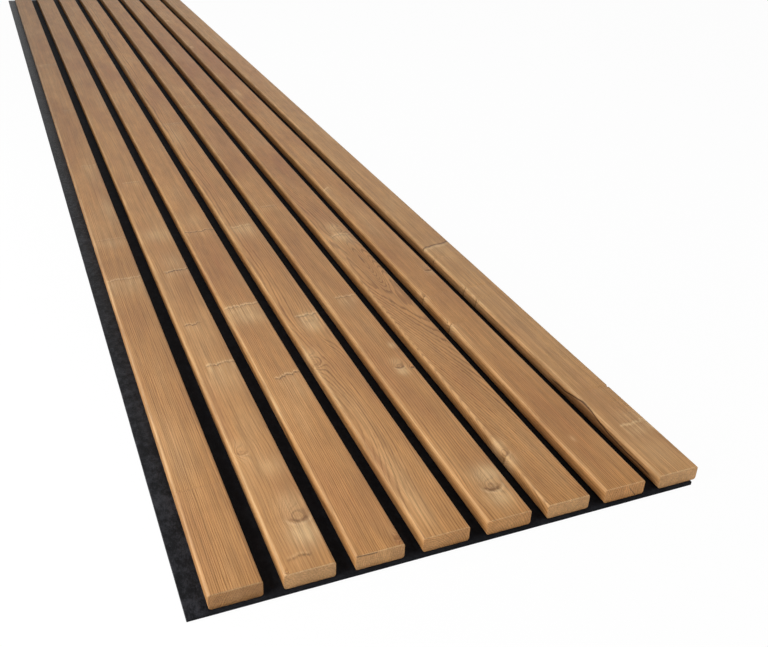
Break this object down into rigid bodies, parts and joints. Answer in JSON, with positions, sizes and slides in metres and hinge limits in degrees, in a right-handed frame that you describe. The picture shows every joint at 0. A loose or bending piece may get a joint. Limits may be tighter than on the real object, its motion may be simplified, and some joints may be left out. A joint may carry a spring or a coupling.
{
  "type": "acoustic slat wall panel",
  "caption": "Flat wall panel of parallel softwood slats with rounded edges on a black felt sheet that damps sound; screws through the felt between slats hold it to a wall.",
  "frame": {"origin": "under the middle of the panel, on the felt's back face", "axes": "+X across the slats, +Y along the slats, +Z out of the wall through the slats' show faces"},
  "size_m": [0.465, 2.44, 0.019],
  "materials": {
    "slat_wood": "planed softwood, satin oil",
    "felt": "needled felt, matt black",
    "staple_wire": "zinc-coated wire"
  },
  "bodies": {
    "root": {"slat_1": "slat_wood", "slat_2": "slat_wood", "slat_3": "slat_wood", "slat_4": "slat_wood", "slat_5": "slat_wood", "slat_6": "slat_wood", "slat_7": "slat_wood", "slat_8": "slat_wood", "felt_backing": "felt", "back_staples": "staple_wire"}
  },
  "joints": []
}
